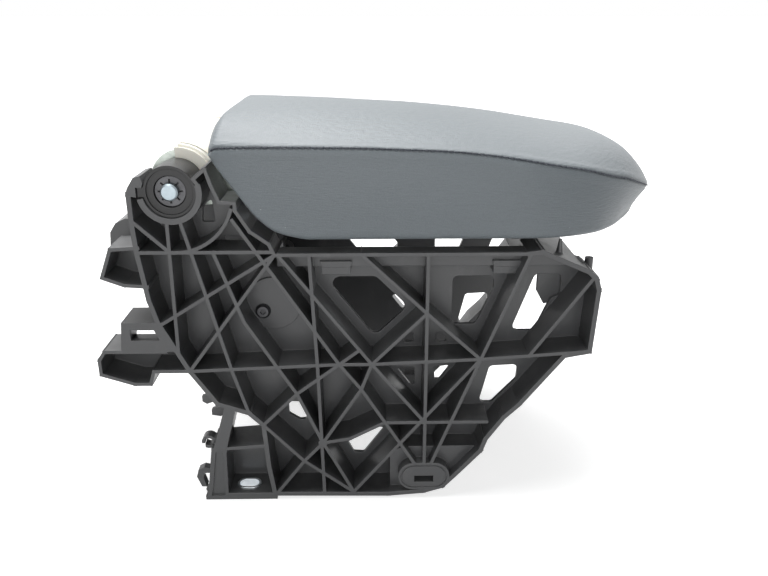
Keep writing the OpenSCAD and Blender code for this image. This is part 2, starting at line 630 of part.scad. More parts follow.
module runner_right() color([0.85, 0.85, 0.82]) runner(-1);

module runner_left() color([0.85, 0.85, 0.82]) runner(1);

module lid_screws() color([0.2, 0.2, 0.21]) translate([-origin_x, 0, 0])
    for (p = base_screws) translate([p[0], p[1], 183.6]) difference() {
        union() {
            cylinder(r = 4, h = 2.3);
            cylinder(r = 1.8, h = 12);
        }
        translate([0, 0, -1]) cylinder(r = 1.6, h = 2.2, $fn = 6);
    }

side_frame_right();
side_frame_left();
front_cross_bar();
upper_rear_bar();
lower_rear_bar();
middle_tie();
hinge_pin();
pivot_bush_right();
pivot_bush_left();
star_washer_right();
star_washer_left();
foot_sleeve_right();
foot_sleeve_left();
frame_screws();
lid_buffers();
hinge_barrel();
hinge_saddle();
hinge_arm_right();
hinge_arm_left();
carrier_plate();
slide_rail_right();
slide_rail_left();
arm_rivets();
lid_pad();
lid_core();
lid_base();
runner_right();
runner_left();
lid_screws();
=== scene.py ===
"""Dresses the centre armrest: a ribbed plastic stand, a steel hinge and an upholstered lid."""

import json
import logging
import math
from dataclasses import dataclass
from enum import Enum
from typing import Callable, Iterable, Sequence

import bpy
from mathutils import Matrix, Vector

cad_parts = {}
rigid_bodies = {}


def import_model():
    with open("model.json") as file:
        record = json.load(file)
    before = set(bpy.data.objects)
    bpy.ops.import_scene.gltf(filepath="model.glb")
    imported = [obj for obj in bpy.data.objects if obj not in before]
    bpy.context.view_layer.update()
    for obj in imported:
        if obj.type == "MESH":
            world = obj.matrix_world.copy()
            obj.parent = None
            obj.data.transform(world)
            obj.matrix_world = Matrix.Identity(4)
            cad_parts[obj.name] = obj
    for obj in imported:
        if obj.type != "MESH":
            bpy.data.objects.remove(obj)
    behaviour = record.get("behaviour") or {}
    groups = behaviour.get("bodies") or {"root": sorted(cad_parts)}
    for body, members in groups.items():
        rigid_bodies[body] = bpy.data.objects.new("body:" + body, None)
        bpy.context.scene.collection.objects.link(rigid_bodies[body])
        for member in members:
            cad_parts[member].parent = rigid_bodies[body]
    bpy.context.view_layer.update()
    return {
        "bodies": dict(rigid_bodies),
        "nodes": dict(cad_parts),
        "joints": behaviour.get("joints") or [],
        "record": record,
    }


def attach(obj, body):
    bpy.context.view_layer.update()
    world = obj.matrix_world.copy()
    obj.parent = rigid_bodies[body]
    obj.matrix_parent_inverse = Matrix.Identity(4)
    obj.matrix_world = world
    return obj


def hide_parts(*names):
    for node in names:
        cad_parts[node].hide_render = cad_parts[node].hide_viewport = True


LOG = logging.getLogger("armrest")
MM = 0.001
ORIGIN_X = 129.0  # from the hinge pin's axis forward to the row frame's origin, in millimetres
TINY = 1e-9  # keeps a division from meeting zero
WHITE = (1.0, 1.0, 1.0, 1.0)
EVEN = (1.0, 1.0, 1.0)

Colour = tuple[float, float, float]
Point = tuple[float, float, float]
Span = tuple[float, float]
Curve = tuple[Span, ...]
Face = tuple[int, ...]
Grid = list[list[Vector]]
Socket = bpy.types.NodeSocket
Node = bpy.types.Node


class Body(Enum):
    """The bodies that a piece can ride on."""

    STAND = "stand"
    CARRIER = "carrier"
    LID = "lid"


class Slot(Enum):
    """Material slots of the record."""

    BLACK_PLASTIC = "black_plastic"
    INNER_PLASTIC = "inner_plastic"
    ZINC_STEEL = "zinc_steel"
    DARK_STEEL = "dark_steel"
    RUBBER = "rubber"
    WHITE_NYLON = "white_nylon"
    LEATHERETTE = "leatherette"


def place(x: float, y: float, z: float) -> Vector:
    """Turns millimetres from the hinge pin's axis and the floor into the row frame.

    Args:
        x: Distance ahead of the pin's axis.
        y: Distance left of the middle plane.
        z: Height above the floor.

    Returns:
        The point in metres.
    """
    return Vector(((x - ORIGIN_X) * MM, y * MM, z * MM))


def tinted(colour: Colour, by: float) -> Colour:
    """A colour made lighter or darker by a factor, up to white."""
    return tuple(min(1.0, by * part) for part in colour)


def both(name: str) -> tuple[str, str]:
    """The names of a piece that each side has."""
    return f"{name}_right", f"{name}_left"


def smooth_lookup(table: Curve, x: float) -> float:
    """Reads a curve that passes smoothly through the places of a table.

    Args:
        table: Places along the curve, in rising order.
        x: Where to read it.

    Returns:
        The curve's value, without overshoot between places.
    """
    if x <= table[0][0]:
        return table[0][1]
    if x >= table[-1][0]:
        return table[-1][1]
    slopes = [(b[1] - a[1]) / (b[0] - a[0]) for a, b in zip(table, table[1:])]
    i = next(k for k in range(len(table) - 1) if x <= table[k + 1][0])

    def tangent(k: int) -> float:
        """The curve's slope at a place of the table.

        Args:
            k: The place's number.

        Returns:
            The slope, which is flat where the curve turns.
        """
        if k == 0:
            return slopes[0]
        if k == len(table) - 1:
            return slopes[-1]
        a, b = slopes[k - 1], slopes[k]
        return 0.0 if a * b <= 0 else 2 * a * b / (a + b)

    (x0, y0), (x1, y1) = table[i], table[i + 1]
    h = x1 - x0
    t = (x - x0) / h
    return (
        (2 * t**3 - 3 * t**2 + 1) * y0
        + (t**3 - 2 * t**2 + t) * h * tangent(i)
        + (3 * t**2 - 2 * t**3) * y1
        + (t**3 - t**2) * h * tangent(i + 1)
    )


def refined(rows: Grid, steps: int) -> Grid:
    """Puts rows between the rows of a grid, on smooth curves through its places.

    Args:
        rows: The grid.
        steps: How many steps go from one given row to the next.

    Returns:
        The finer grid.
    """
    out = []
    for i in range(len(rows) - 1):
        before, after = rows[max(0, i - 1)], rows[min(len(rows) - 1, i + 2)]
        for step in range(steps):
            t = step / steps
            line = []
            for a, b, c, d in zip(before, rows[i], rows[i + 1], after):
                square, cube = 2 * a - 5 * b + 4 * c - d, 3 * b - a - 3 * c + d
                line.append(0.5 * (2 * b + (c - a) * t + square * t**2 + cube * t**3))
            out.append(line)
    return out + [rows[-1]]


def tube_faces(rings: int, around: int, start: int = 0, inside_out: bool = False) -> list[Face]:
    """Faces between closed rings of points that follow each other.

    Args:
        rings: How many rings there are.
        around: How many points each has.
        start: Number of the first point.
        inside_out: Whether the faces look the other way.

    Returns:
        The faces.
    """
    faces = []
    for i in range(rings - 1):
        a, b = start + i * around, start + (i + 1) * around
        for j in range(around):
            k = (j + 1) % around
            faces.append((a + j, a + k, b + k, b + j) if inside_out else (a + j, b + j, b + k, a + k))
    return faces


class Wiring:
    """Adds nodes to a node tree and joins their sockets."""

    def __init__(self, tree: bpy.types.NodeTree) -> None:
        """Starts from an empty tree.

        Args:
            tree: The tree to fill.
        """
        self.tree = tree
        self.tree.nodes.clear()

    def node(self, kind: str, **settings: object) -> Node:
        """Adds a node.

        Args:
            kind: The node's type name.
            settings: Attributes of the node to set.

        Returns:
            The new node.
        """
        made = self.tree.nodes.new(kind)
        for name, value in settings.items():
            setattr(made, name, value)
        return made

    def join(self, start: Socket, end: Socket) -> None:
        """Links an output to an input."""
        self.tree.links.new(start, end)

    def feed(self, end: Socket, value: object) -> None:
        """Links a socket to an input, or sets the input to a value.

        Args:
            end: The input.
            value: Another node's output, or what the input is set to.
        """
        if isinstance(value, Socket):
            self.join(value, end)
        else:
            end.default_value = value

    def supply(self, node: Node, **values: object) -> Node:
        """Feeds a node's inputs.

        Args:
            node: The node.
            values: Inputs by name, with underscores for spaces.

        Returns:
            The same node.
        """
        for name, value in values.items():
            self.feed(node.inputs[name.replace("_", " ")], value)
        return node

    def use(self, group: bpy.types.NodeTree, **values: object) -> Node:
        """Adds a shared group and feeds its inputs."""
        return self.supply(self.node("ShaderNodeGroup", node_tree=group), **values)

    def math(self, operation: str, a: object, b: object = 0.0, clamp: bool = False) -> Socket:
        """Adds a Math node.

        Args:
            operation: Its operation.
            a: First input, a socket or a number.
            b: Second input.
            clamp: Whether the result stays from 0 to 1.

        Returns:
            Its result.
        """
        made = self.node("ShaderNodeMath", operation=operation, use_clamp=clamp)
        self.feed(made.inputs[0], a)
        self.feed(made.inputs[1], b)
        return made.outputs[0]

    def plus(self, a: object, b: object) -> Socket:
        """Adds two values."""
        return self.math("ADD", a, b)

    def times(self, a: object, b: object) -> Socket:
        """Multiplies two values."""
        return self.math("MULTIPLY", a, b)

    def spread(self, value: Socket, low: float, high: float, out: Span = (0.0, 1.0)) -> Socket:
        """Maps a range onto another, smoothly and without running past it.

        Args:
            value: What is mapped.
            low: Where its range starts.
            high: Where its range ends.
            out: The range that it is mapped onto.

        Returns:
            The mapped value.
        """
        made = self.node("ShaderNodeMapRange", interpolation_type="SMOOTHSTEP")
        self.supply(made, Value=value, From_Min=low, From_Max=high, To_Min=out[0], To_Max=out[1])
        return made.outputs["Result"]

    def blend(self, share: Socket, a: Socket | Colour, b: Socket | Colour, most: float = 1.0) -> Socket:
        """Mixes two colours.

        Args:
            share: How much of the second colour shows, from 0 to 1.
            a: First colour.
            b: Second colour.
            most: How much of it shows where the share is 1.

        Returns:
            The mixed colour.
        """
        made = self.node("ShaderNodeMix", data_type="RGBA")
        first, second = (c if isinstance(c, Socket) else (*c, 1.0) for c in (a, b))
        self.supply(made, Factor=share if most == 1.0 else self.times(share, most), A=first, B=second)
        return made.outputs["Result"]

    def noise(self, where: Socket, scale: float, detail: float = 3.0, rough: float = 0.5) -> Socket:
        """Adds a Noise Texture.

        Args:
            where: Its coordinates.
            scale: How many of its spots go to a metre.
            detail: How many finer layers it has.
            rough: How strong the finer layers are.

        Returns:
            Its value.
        """
        made = self.node("ShaderNodeTexNoise")
        self.supply(made, Vector=where, Scale=scale, Detail=detail, Roughness=rough)
        return made.outputs["Fac"]

    def where(self, stretch: Point = EVEN) -> Socket:
        """Object coordinates, in metres.

        Args:
            stretch: Factors along the axes.

        Returns:
            The coordinates.
        """
        made = self.node("ShaderNodeTexCoord")
        mapped = self.node("ShaderNodeMapping")
        self.supply(mapped, Vector=made.outputs["Object"], Scale=stretch)
        return mapped.outputs["Vector"]

    def sized(self, size: Socket, stretch: Point = EVEN) -> Socket:
        """Object coordinates that a group's Size input scales.

        Args:
            size: The group's input.
            stretch: Factors along the axes.

        Returns:
            The coordinates.
        """
        scaled = self.node("ShaderNodeVectorMath", operation="SCALE")
        self.join(self.where(stretch), scaled.inputs[0])
        self.join(size, scaled.inputs["Scale"])
        return scaled.outputs["Vector"]


class Effects:
    """Node groups that several finishes share. They give masks, heights and normals."""

    def __init__(self) -> None:
        """Builds every group."""
        size = {"Size": 1.0}
        self.edges = self.group("edge_wear", {"Radius": 0.0006}, ("Mask",), ("Normal",), self.fill_edges)
        self.moulded = self.group("moulded_grain", size, ("Height", "Cloud"), (), self.fill_moulded)
        self.dust = self.group("settled_dust", {"Amount": 0.5}, ("Mask",), (), self.fill_dust)
        self.leather = self.group("leather_grain", size, ("Height", "Pores", "Cloud"), (), self.fill_leather)
        self.brushed = self.group("drawn_metal", size, ("Height", "Streaks"), (), self.fill_brushed)

    def group(
        self,
        name: str,
        inputs: dict[str, float],
        values: Sequence[str],
        normals: Sequence[str],
        fill: Callable[[Wiring, Node, Node], None],
    ) -> bpy.types.NodeTree:
        """Makes a group with its sockets and lets fill add the inside.

        Args:
            name: The group's name.
            inputs: Number inputs with their defaults.
            values: Names of number outputs.
            normals: Names of vector outputs.
            fill: Adds the nodes between the group's input and output.

        Returns:
            The group's tree.
        """
        tree = bpy.data.node_groups.new(name, "ShaderNodeTree")
        wiring = Wiring(tree)
        for socket, default in inputs.items():
            made = tree.interface.new_socket(socket, in_out="INPUT", socket_type="NodeSocketFloat")
            made.default_value = default
        for socket in values:
            tree.interface.new_socket(socket, in_out="OUTPUT", socket_type="NodeSocketFloat")
        for socket in normals:
            tree.interface.new_socket(socket, in_out="OUTPUT", socket_type="NodeSocketVector")
        fill(wiring, wiring.node("NodeGroupInput"), wiring.node("NodeGroupOutput"))
        return tree

    def fill_edges(self, w: Wiring, start: Node, end: Node) -> None:
        """Softens sharp edges and finds where they are.

        Args:
            w: The group's wiring.
            start: Its input node.
            end: Its output node.
        """
        bevel = w.supply(w.node("ShaderNodeBevel", samples=6), Radius=start.outputs["Radius"])
        face = w.node("ShaderNodeNewGeometry")
        dot = w.node("ShaderNodeVectorMath", operation="DOT_PRODUCT")
        w.join(bevel.outputs["Normal"], dot.inputs[0])
        w.join(face.outputs["Normal"], dot.inputs[1])
        bent = w.math("SUBTRACT", 1.0, dot.outputs["Value"], clamp=True)
        patchy = w.noise(w.where(), scale=90.0, detail=4.0)
        turned = w.spread(bent, low=0.02, high=0.3)
        worn = w.times(turned, w.spread(patchy, low=0.35, high=0.7, out=(0.35, 1.0)))
        w.supply(end, Mask=worn, Normal=bevel.outputs["Normal"])

    def fill_moulded(self, w: Wiring, start: Node, end: Node) -> None:
        """Fine spark-eroded grain with broad sink marks and cloudy gloss.

        Args:
            w: The group's wiring.
            start: Its input node.
            end: Its output node.
        """
        where = w.sized(start.outputs["Size"])
        fine = w.noise(where, scale=2200.0, detail=2.0, rough=0.6)
        sinks = w.noise(where, scale=45.0, detail=1.0)
        cloud = w.noise(where, scale=28.0, detail=4.0, rough=0.6)
        fine_height, sink_height = 0.5, 0.9
        w.supply(end, Height=w.plus(w.times(fine, fine_height), w.times(sinks, sink_height)), Cloud=cloud)

    def fill_dust(self, w: Wiring, start: Node, end: Node) -> None:
        """Pale dust on what faces up, thicker in patches.

        Args:
            w: The group's wiring.
            start: Its input node.
            end: Its output node.
        """
        face = w.node("ShaderNodeNewGeometry")
        parts = w.supply(w.node("ShaderNodeSeparateXYZ"), Vector=face.outputs["Normal"])
        flat = w.spread(parts.outputs["Z"], low=0.35, high=0.95)
        patchy = w.spread(w.noise(w.where(), scale=60.0, detail=6.0, rough=0.7), low=0.35, high=0.75)
        w.supply(end, Mask=w.times(w.times(flat, patchy), start.outputs["Amount"]))

    def fill_leather(self, w: Wiring, start: Node, end: Node) -> None:
        """Small rounded pebbles of embossed leatherette, with stretch creases along the sides, and a mask
        that is 0 in the crevices between the pebbles, for painted shade.

        Args:
            w: The group's wiring.
            start: Its input node.
            end: Its output node.
        """
        where = w.sized(start.outputs["Size"])
        warp = w.supply(w.node("ShaderNodeTexNoise"), Vector=where, Scale=260.0)
        bent = w.node("ShaderNodeMix", data_type="VECTOR")
        w.supply(bent, Factor=0.0012, A=where, B=warp.outputs["Color"])
        cells = w.node("ShaderNodeTexVoronoi", feature="DISTANCE_TO_EDGE")
        w.supply(cells, Vector=bent.outputs["Result"], Scale=900.0)
        pebbles = w.spread(cells.outputs["Distance"], low=0.0, high=0.22)
        fine = w.noise(where, scale=3000.0, detail=2.0)
        long_way = w.supply(w.node("ShaderNodeMapping"), Vector=where, Scale=(0.4, 0.4, 2.4))
        stretched = w.noise(long_way.outputs["Vector"], scale=420.0, detail=2.0, rough=0.45)
        creases = w.spread(stretched, low=0.35, high=0.65)
        pebble_height, fine_height, crease_height = 0.4, 0.15, 1.3
        height = w.plus(w.times(pebbles, pebble_height), w.times(fine, fine_height))
        height = w.plus(height, w.times(creases, crease_height))
        cloud = w.noise(where, scale=14.0, detail=5.0, rough=0.55)
        # the pebble mask goes out to darken the crevices between the pebbles: painted shade
        w.supply(end, Height=height, Pores=pebbles, Cloud=cloud)

    def fill_brushed(self, w: Wiring, start: Node, end: Node) -> None:
        """Drawn and tumbled steel: fine streaks with small nicks.

        Args:
            w: The group's wiring.
            start: Its input node.
            end: Its output node.
        """
        where = w.sized(start.outputs["Size"], stretch=(1.0, 0.25, 1.0))
        streaks = w.noise(where, scale=1400.0, detail=3.0, rough=0.6)
        nicks = w.spread(w.noise(w.where(), scale=700.0, detail=1.0), low=0.6, high=0.75)
        nick_depth = 0.5
        w.supply(end, Height=w.math("SUBTRACT", streaks, w.times(nicks, nick_depth)), Streaks=streaks)


class Finish:
    """A named material and the recipe that fills it."""

    name: str

    def material(self, effects: Effects) -> bpy.types.Material:
        """Makes the material, or gives the one made before.

        Args:
            effects: The shared node groups.

        Returns:
            The material.
        """
        found = bpy.data.materials.get(self.name)
        if found:
            return found
        made = bpy.data.materials.new(self.name)
        made.use_nodes = True
        wiring = Wiring(made.node_tree)
        surface = wiring.node("ShaderNodeBsdfPrincipled")
        wiring.supply(wiring.node("ShaderNodeOutputMaterial"), Surface=surface.outputs["BSDF"])
        self.fill(wiring, surface, effects)
        return made

    def fill(self, w: Wiring, surface: Node, effects: Effects) -> None:
        """Adds the finish's nodes.

        Args:
            w: The material's wiring.
            surface: Its Principled shader.
            effects: The shared node groups.
        """
        raise NotImplementedError

    def uneven(self, w: Wiring, middle: float, mask: Socket, below: float, swing: float) -> Socket:
        """A roughness that a mask changes.

        Args:
            w: The material's wiring.
            middle: The mean roughness.
            mask: The mask.
            below: How far below the mean it is where the mask is 0.
            swing: How much it rises to where the mask is 1.

        Returns:
            The roughness.
        """
        return w.plus(middle - below, w.times(mask, swing))

    def bump(self, w: Wiring, height: Socket, depth: float, normal: Socket | None = None) -> Socket:
        """Turns a height into a normal.

        Args:
            w: The material's wiring.
            height: The height, from 0 to 1.
            depth: How deep a height of 1 is, in metres.
            normal: What the bump is laid over, where that isn't the plain surface.

        Returns:
            The normal.
        """
        made = w.supply(w.node("ShaderNodeBump"), Strength=1.0, Distance=depth, Height=height)
        if normal is not None:
            w.join(normal, made.inputs["Normal"])
        return made.outputs["Normal"]


@dataclass(frozen=True)
class MouldedPlastic(Finish):
    """Glass-filled black plastic with a satin moulded skin.

    Attributes:
        name: The material's name.
        colour: Its own colour.
        worn: Colour of its edges.
        roughness: Where it is clean.
        edge: How far its edges are rounded, in metres.
        dust: How much dust and how many smears it carries, from 0 to 1.
        grain: Depth of the moulded grain, in metres.
        gloss: How strongly it shines.
        smear: Colour of the smears.
        settled: Colour of the dust.
        smear_rough: How much rougher a full smear is.
        dust_rough: How much rougher a full cover of dust is.
    """

    name: str
    colour: Colour
    worn: Colour
    roughness: float = 0.36
    edge: float = 0.0007
    dust: float = 0.25
    grain: float = 0.00006
    gloss: float = 0.5
    smear: Colour = (0.16, 0.16, 0.156)
    settled: Colour = (0.23, 0.23, 0.225)
    smear_rough: float = 0.4
    dust_rough: float = 0.35

    def fill(self, w: Wiring, surface: Node, effects: Effects) -> None:
        """Adds grain, soft polished edges, a little dust, and smears where it was handled.

        Args:
            w: The material's wiring.
            surface: Its Principled shader.
            effects: The shared node groups.
        """
        edges = w.use(effects.edges, Radius=self.edge)
        grain = w.use(effects.moulded, Size=1.0)
        dust = w.use(effects.dust, Amount=self.dust).outputs["Mask"]
        cloud = grain.outputs["Cloud"]
        handled = w.noise(w.where((1.0, 1.0, 0.4)), scale=42.0, detail=6.0, rough=0.7)
        smears = w.spread(handled, low=0.54, high=0.74)
        tone = w.blend(cloud, self.colour, tinted(self.colour, by=1.9), most=0.35)
        edged = w.blend(edges.outputs["Mask"], tone, self.worn, most=0.6)
        smeared = w.blend(smears, edged, self.smear, most=self.dust)
        rough = self.uneven(w, self.roughness, cloud, below=0.08, swing=0.2)
        rough = w.plus(rough, w.times(smears, self.smear_rough * self.dust))
        w.supply(
            surface,
            Base_Color=w.blend(dust, smeared, self.settled),
            Specular_IOR_Level=self.gloss,
            Roughness=w.math("ADD", rough, w.times(dust, self.dust_rough), clamp=True),
            Normal=self.bump(w, grain.outputs["Height"], self.grain, edges.outputs["Normal"]),
        )


@dataclass(frozen=True)
class Leatherette(Finish):
    """Grey embossed leatherette with a soft sheen.

    Attributes:
        name: The material's name.
        colour: Colour of the pebbles' tops; the crevices between them get a painted shade darker than it.
        lint: Colour of the specks on it.
        roughness: Its mean roughness.
        depth: Depth of the grain, in metres.
        sheen: How strong its sheen is.
        sheen_roughness: How wide its sheen is.
    """

    name: str = "leatherette_grey"
    colour: Colour = (0.118, 0.137, 0.149)
    lint: Colour = (0.5, 0.5, 0.48)
    roughness: float = 0.46
    depth: float = 0.00008
    sheen: float = 0.12
    sheen_roughness: float = 0.45

    def fill(self, w: Wiring, surface: Node, effects: Effects) -> None:
        """Adds pebble grain, painted shade in the crevices between the pebbles, a few specks of lint, and
        cloudy gloss.

        Args:
            w: The material's wiring.
            surface: Its Principled shader.
            effects: The shared node groups.
        """
        grain = w.use(effects.leather, Size=1.0)
        cloud = grain.outputs["Cloud"]
        # painted shade: the crevices between the pebbles are darkened to 0.84 of the colour
        skin = w.blend(grain.outputs["Pores"], tinted(self.colour, by=0.84), self.colour)
        clouded = w.blend(cloud, skin, tinted(self.colour, by=1.07), most=0.6)
        specks = w.spread(w.noise(w.where(), scale=420.0, detail=1.0), low=0.81, high=0.83)
        w.supply(
            surface,
            Base_Color=w.blend(specks, clouded, self.lint, most=0.5),
            Roughness=self.uneven(w, self.roughness, cloud, below=0.05, swing=0.1),
            Sheen_Weight=self.sheen,
            Sheen_Roughness=self.sheen_roughness,
            Normal=self.bump(w, grain.outputs["Height"], self.depth),
        )


@dataclass(frozen=True)
class Metal(Finish):
    """Plated or blackened steel.

    Attributes:
        name: The material's name.
        colour: Colour of the clean plating.
        dark: Colour of its darker patches.
        roughness: Its mean roughness.
        metallic: How far it is bare metal, from 0 to 1.
        edge: How far its edges are rounded, in metres.
        streaks: Depth of the drawing marks, in metres.
    """

    name: str
    colour: Colour
    dark: Colour
    roughness: float = 0.32
    metallic: float = 1.0
    edge: float = 0.0004
    streaks: float = 0.00003

    def fill(self, w: Wiring, surface: Node, effects: Effects) -> None:
        """Adds streaks, bright edges and a patchy plated tone.

        Args:
            w: The material's wiring.
            surface: Its Principled shader.
            effects: The shared node groups.
        """
        drawn = w.use(effects.brushed, Size=1.0)
        edges = w.use(effects.edges, Radius=self.edge)
        cloud = w.spread(w.noise(w.where(), scale=160.0, detail=5.0, rough=0.65), low=0.3, high=0.7)
        tone = w.blend(cloud, self.colour, self.dark, most=0.55)
        w.supply(
            surface,
            Base_Color=w.blend(edges.outputs["Mask"], tone, tinted(self.colour, by=1.25), most=0.5),
            Metallic=self.metallic,
            Roughness=self.uneven(w, self.roughness, drawn.outputs["Streaks"], below=0.06, swing=0.16),
            Normal=self.bump(w, drawn.outputs["Height"], self.streaks, edges.outputs["Normal"]),
        )


@dataclass(frozen=True)
class Nylon(Finish):
    """Natural nylon, slightly translucent, greasy where it slides.

    Attributes:
        name: The material's name.
        colour: Colour where it is clean.
        aged: Colour where it has yellowed.
        grease: Colour of the greasy spots.
        roughness: Its least roughness.
        edge: How far its edges are rounded, in metres.
        depth: Depth of the moulded grain, in metres.
        glow: How much light passes through its skin.
        reach: How far red, green and blue light pass, in metres.
    """

    name: str = "nylon_white"
    colour: Colour = (0.83, 0.82, 0.76)
    aged: Colour = (0.72, 0.66, 0.5)
    grease: Colour = (0.3, 0.27, 0.2)
    roughness: float = 0.22
    edge: float = 0.0008
    depth: float = 0.00004
    glow: float = 0.12
    reach: Point = (0.004, 0.003, 0.002)

    def fill(self, w: Wiring, surface: Node, effects: Effects) -> None:
        """Adds cloudy yellowing, soft edges and grease-dark spots.

        Args:
            w: The material's wiring.
            surface: Its Principled shader.
            effects: The shared node groups.
        """
        grain = w.use(effects.moulded, Size=1.0)
        edges = w.use(effects.edges, Radius=self.edge)
        cloud = grain.outputs["Cloud"]
        tone = w.blend(cloud, self.colour, self.aged, most=0.5)
        spots = w.spread(w.noise(w.where(), scale=130.0, detail=4.0, rough=0.6), low=0.62, high=0.78)
        w.supply(
            surface,
            Base_Color=w.blend(spots, tone, self.grease, most=0.25),
            Subsurface_Weight=self.glow,
            Subsurface_Radius=self.reach,
            Roughness=self.uneven(w, self.roughness, cloud, below=0.0, swing=0.2),
            Normal=self.bump(w, grain.outputs["Height"], self.depth, edges.outputs["Normal"]),
        )


@dataclass(frozen=True)
class Rubber(Finish):
    """Matt black rubber.

    Attributes:
        name: The material's name.
        colour: Its own colour.
        bloom: Colour of its dry bloom.
        roughness: Its roughness.
        depth: Depth of its pits, in metres.
    """

    name: str = "rubber_black"
    colour: Colour = (0.016, 0.016, 0.017)
    bloom: Colour = (0.045, 0.045, 0.045)
    roughness: float = 0.72
    depth: float = 0.00012

    def fill(self, w: Wiring, surface: Node, effects: Effects) -> None:
        """Adds a dry bloom and fine pits.

        Args:
            w: The material's wiring.
            surface: Its Principled shader.
            effects: The shared node groups.
        """
        grain = w.use(effects.moulded, Size=0.7)
        w.supply(
            surface,
            Base_Color=w.blend(grain.outputs["Cloud"], self.colour, self.bloom, most=0.5),
            Roughness=self.roughness,
            Normal=self.bump(w, grain.outputs["Height"], self.depth),
        )


@dataclass(frozen=True)
class Thread(Finish):
    """Dark bonded sewing thread.

    Attributes:
        name: The material's name.
        colour: Colour between its plies, painted darker there as shade.
        light: Colour on its plies.
        roughness: Its roughness.
        depth: Depth between its plies, in metres.
        plies: How many plies cross a metre of it.
    """

    name: str = "thread_dark"
    colour: Colour = (0.006, 0.008, 0.014)
    light: Colour = (0.03, 0.036, 0.05)
    roughness: float = 0.55
    depth: float = 0.00006
    plies: float = 900.0

    def fill(self, w: Wiring, surface: Node, effects: Effects) -> None:
        """Adds the twist of the plies, with painted shade in the grooves between them.

        Args:
            w: The material's wiring.
            surface: Its Principled shader.
            effects: The shared node groups, which thread doesn't need.
        """
        twist = w.node("ShaderNodeTexWave", wave_type="BANDS", bands_direction="DIAGONAL")
        height = w.supply(twist, Vector=w.where(), Scale=self.plies).outputs["Fac"]
        # painted shade: the colour follows the twist's height, darker in the grooves between the plies
        w.supply(
            surface,
            Base_Color=w.blend(height, self.colour, self.light),
            Roughness=self.roughness,
            Normal=self.bump(w, height, self.depth),
        )


BLACK = MouldedPlastic(
    "plastic_black", (0.049, 0.05, 0.052), (0.085, 0.087, 0.09), roughness=0.3, edge=0.0006
)
INNER = MouldedPlastic("plastic_inner", (0.04, 0.04, 0.042), (0.08, 0.08, 0.082), roughness=0.45)
BUSH = MouldedPlastic(
    "plastic_bush", (0.007, 0.007, 0.0075), (0.03, 0.03, 0.031), roughness=0.3, dust=0.04, gloss=0.4
)
ZINC = Metal("steel_zinc", (0.80, 0.84, 0.87), (0.58, 0.62, 0.65))
PIN = Metal("steel_pin", (0.33, 0.38, 0.41), (0.19, 0.23, 0.25), roughness=0.36)
PLATED = Metal("steel_yellow_zinc", (0.50, 0.54, 0.50), (0.30, 0.34, 0.31), roughness=0.4)
BLACKENED = Metal(
    "steel_blackened", (0.09, 0.09, 0.095), (0.04, 0.04, 0.042), roughness=0.38, metallic=0.85
)
NYLON = Nylon()
RUBBER = Rubber()
LEATHERETTE = Leatherette()
THREAD = Thread()
Parts = tuple[tuple[Finish, tuple[str, ...]], ...]


def cover(obj: bpy.types.Object, finish: Finish, effects: Effects) -> None:
    """Gives an object one finish in every material slot it has.

    Args:
        obj: The object.
        finish: Its finish.
        effects: The shared node groups.
    """
    made = finish.material(effects)
    if not obj.data.materials:
        obj.data.materials.append(made)
    for i in range(len(obj.data.materials)):
        obj.data.materials[i] = made


def new_piece(
    name: str,
    verts: Iterable[Sequence[float]],
    faces: Iterable[Face],
    body: Body,
    finish: Finish,
    effects: Effects,
) -> bpy.types.Object:
    """Makes a smooth mesh piece, finishes it and lets it ride on its body.

    Args:
        name: The piece's name.
        verts: Points in the row frame, in metres.
        faces: Faces as rows of point numbers.
        body: What it rides on.
        finish: Its finish.
        effects: The shared node groups.

    Returns:
        The new object.
    """
    mesh = bpy.data.meshes.new(name)
    mesh.from_pydata([tuple(v) for v in verts], [], list(faces))
    mesh.validate()
    for polygon in mesh.polygons:
        polygon.use_smooth = True
    obj = bpy.data.objects.new(name, mesh)
    bpy.context.scene.collection.objects.link(obj)
    cover(obj, finish, effects)
    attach(obj, body.value)
    return obj


@dataclass(frozen=True)
class Assembly:
    """Pieces of the CAD model that belong together.

    Attributes:
        parts: Each finish with the names of the pieces that have it.
    """

    parts: Parts

    def dress(self, nodes: dict[str, bpy.types.Object], effects: Effects) -> None:
        """Gives each piece its finish.

        Args:
            nodes: The CAD model's pieces by name.
            effects: The shared node groups.
        """
        for finish, names in self.parts:
            for name in names:
                cover(nodes[name], finish, effects)
                LOG.info("%s is finished as %s", name, finish.name)


@dataclass(frozen=True)
class Stand(Assembly):
    """The side frames with the members, screws, sleeves and stops that they carry."""

    parts: Parts = (
        (BLACK, (*both("side_frame"), "front_cross_bar", "upper_rear_bar", "lower_rear_bar", "middle_tie")),
        (ZINC, both("foot_sleeve")),
        (BLACKENED, ("frame_screws",)),
        (RUBBER, ("lid_buffers",)),
    )


@dataclass(frozen=True)
class Hinge(Assembly):
    """The pin in its bushes, and the barrel that turns on it with the saddle and the arms."""

    parts: Parts = (
        (BUSH, both("pivot_bush")),
        (PIN, ("hinge_pin",)),
        (BLACKENED, both("star_washer")),
        (BLACK, ("hinge_barrel",)),
        (NYLON, ("hinge_saddle",)),
        (PLATED, both("hinge_arm")),
        (ZINC, ("arm_rivets",)),
    )


@dataclass(frozen=True)
class Slide(Assembly):
    """The carrier plate with its rails, and the runners that the lid slides on."""

    parts: Parts = (
        (BLACKENED, ("carrier_plate",)),
        (ZINC, both("slide_rail")),
        (NYLON, both("runner")),
    )


@dataclass(frozen=True)
class Lid(Assembly):
    """The lid's core, its base with the screws, and the pad's plain solid under its cover."""

    parts: Parts = (
        (INNER, ("lid_core", "lid_base")),
        (BLACKENED, ("lid_screws",)),
        (LEATHERETTE, ("lid_pad",)),
    )


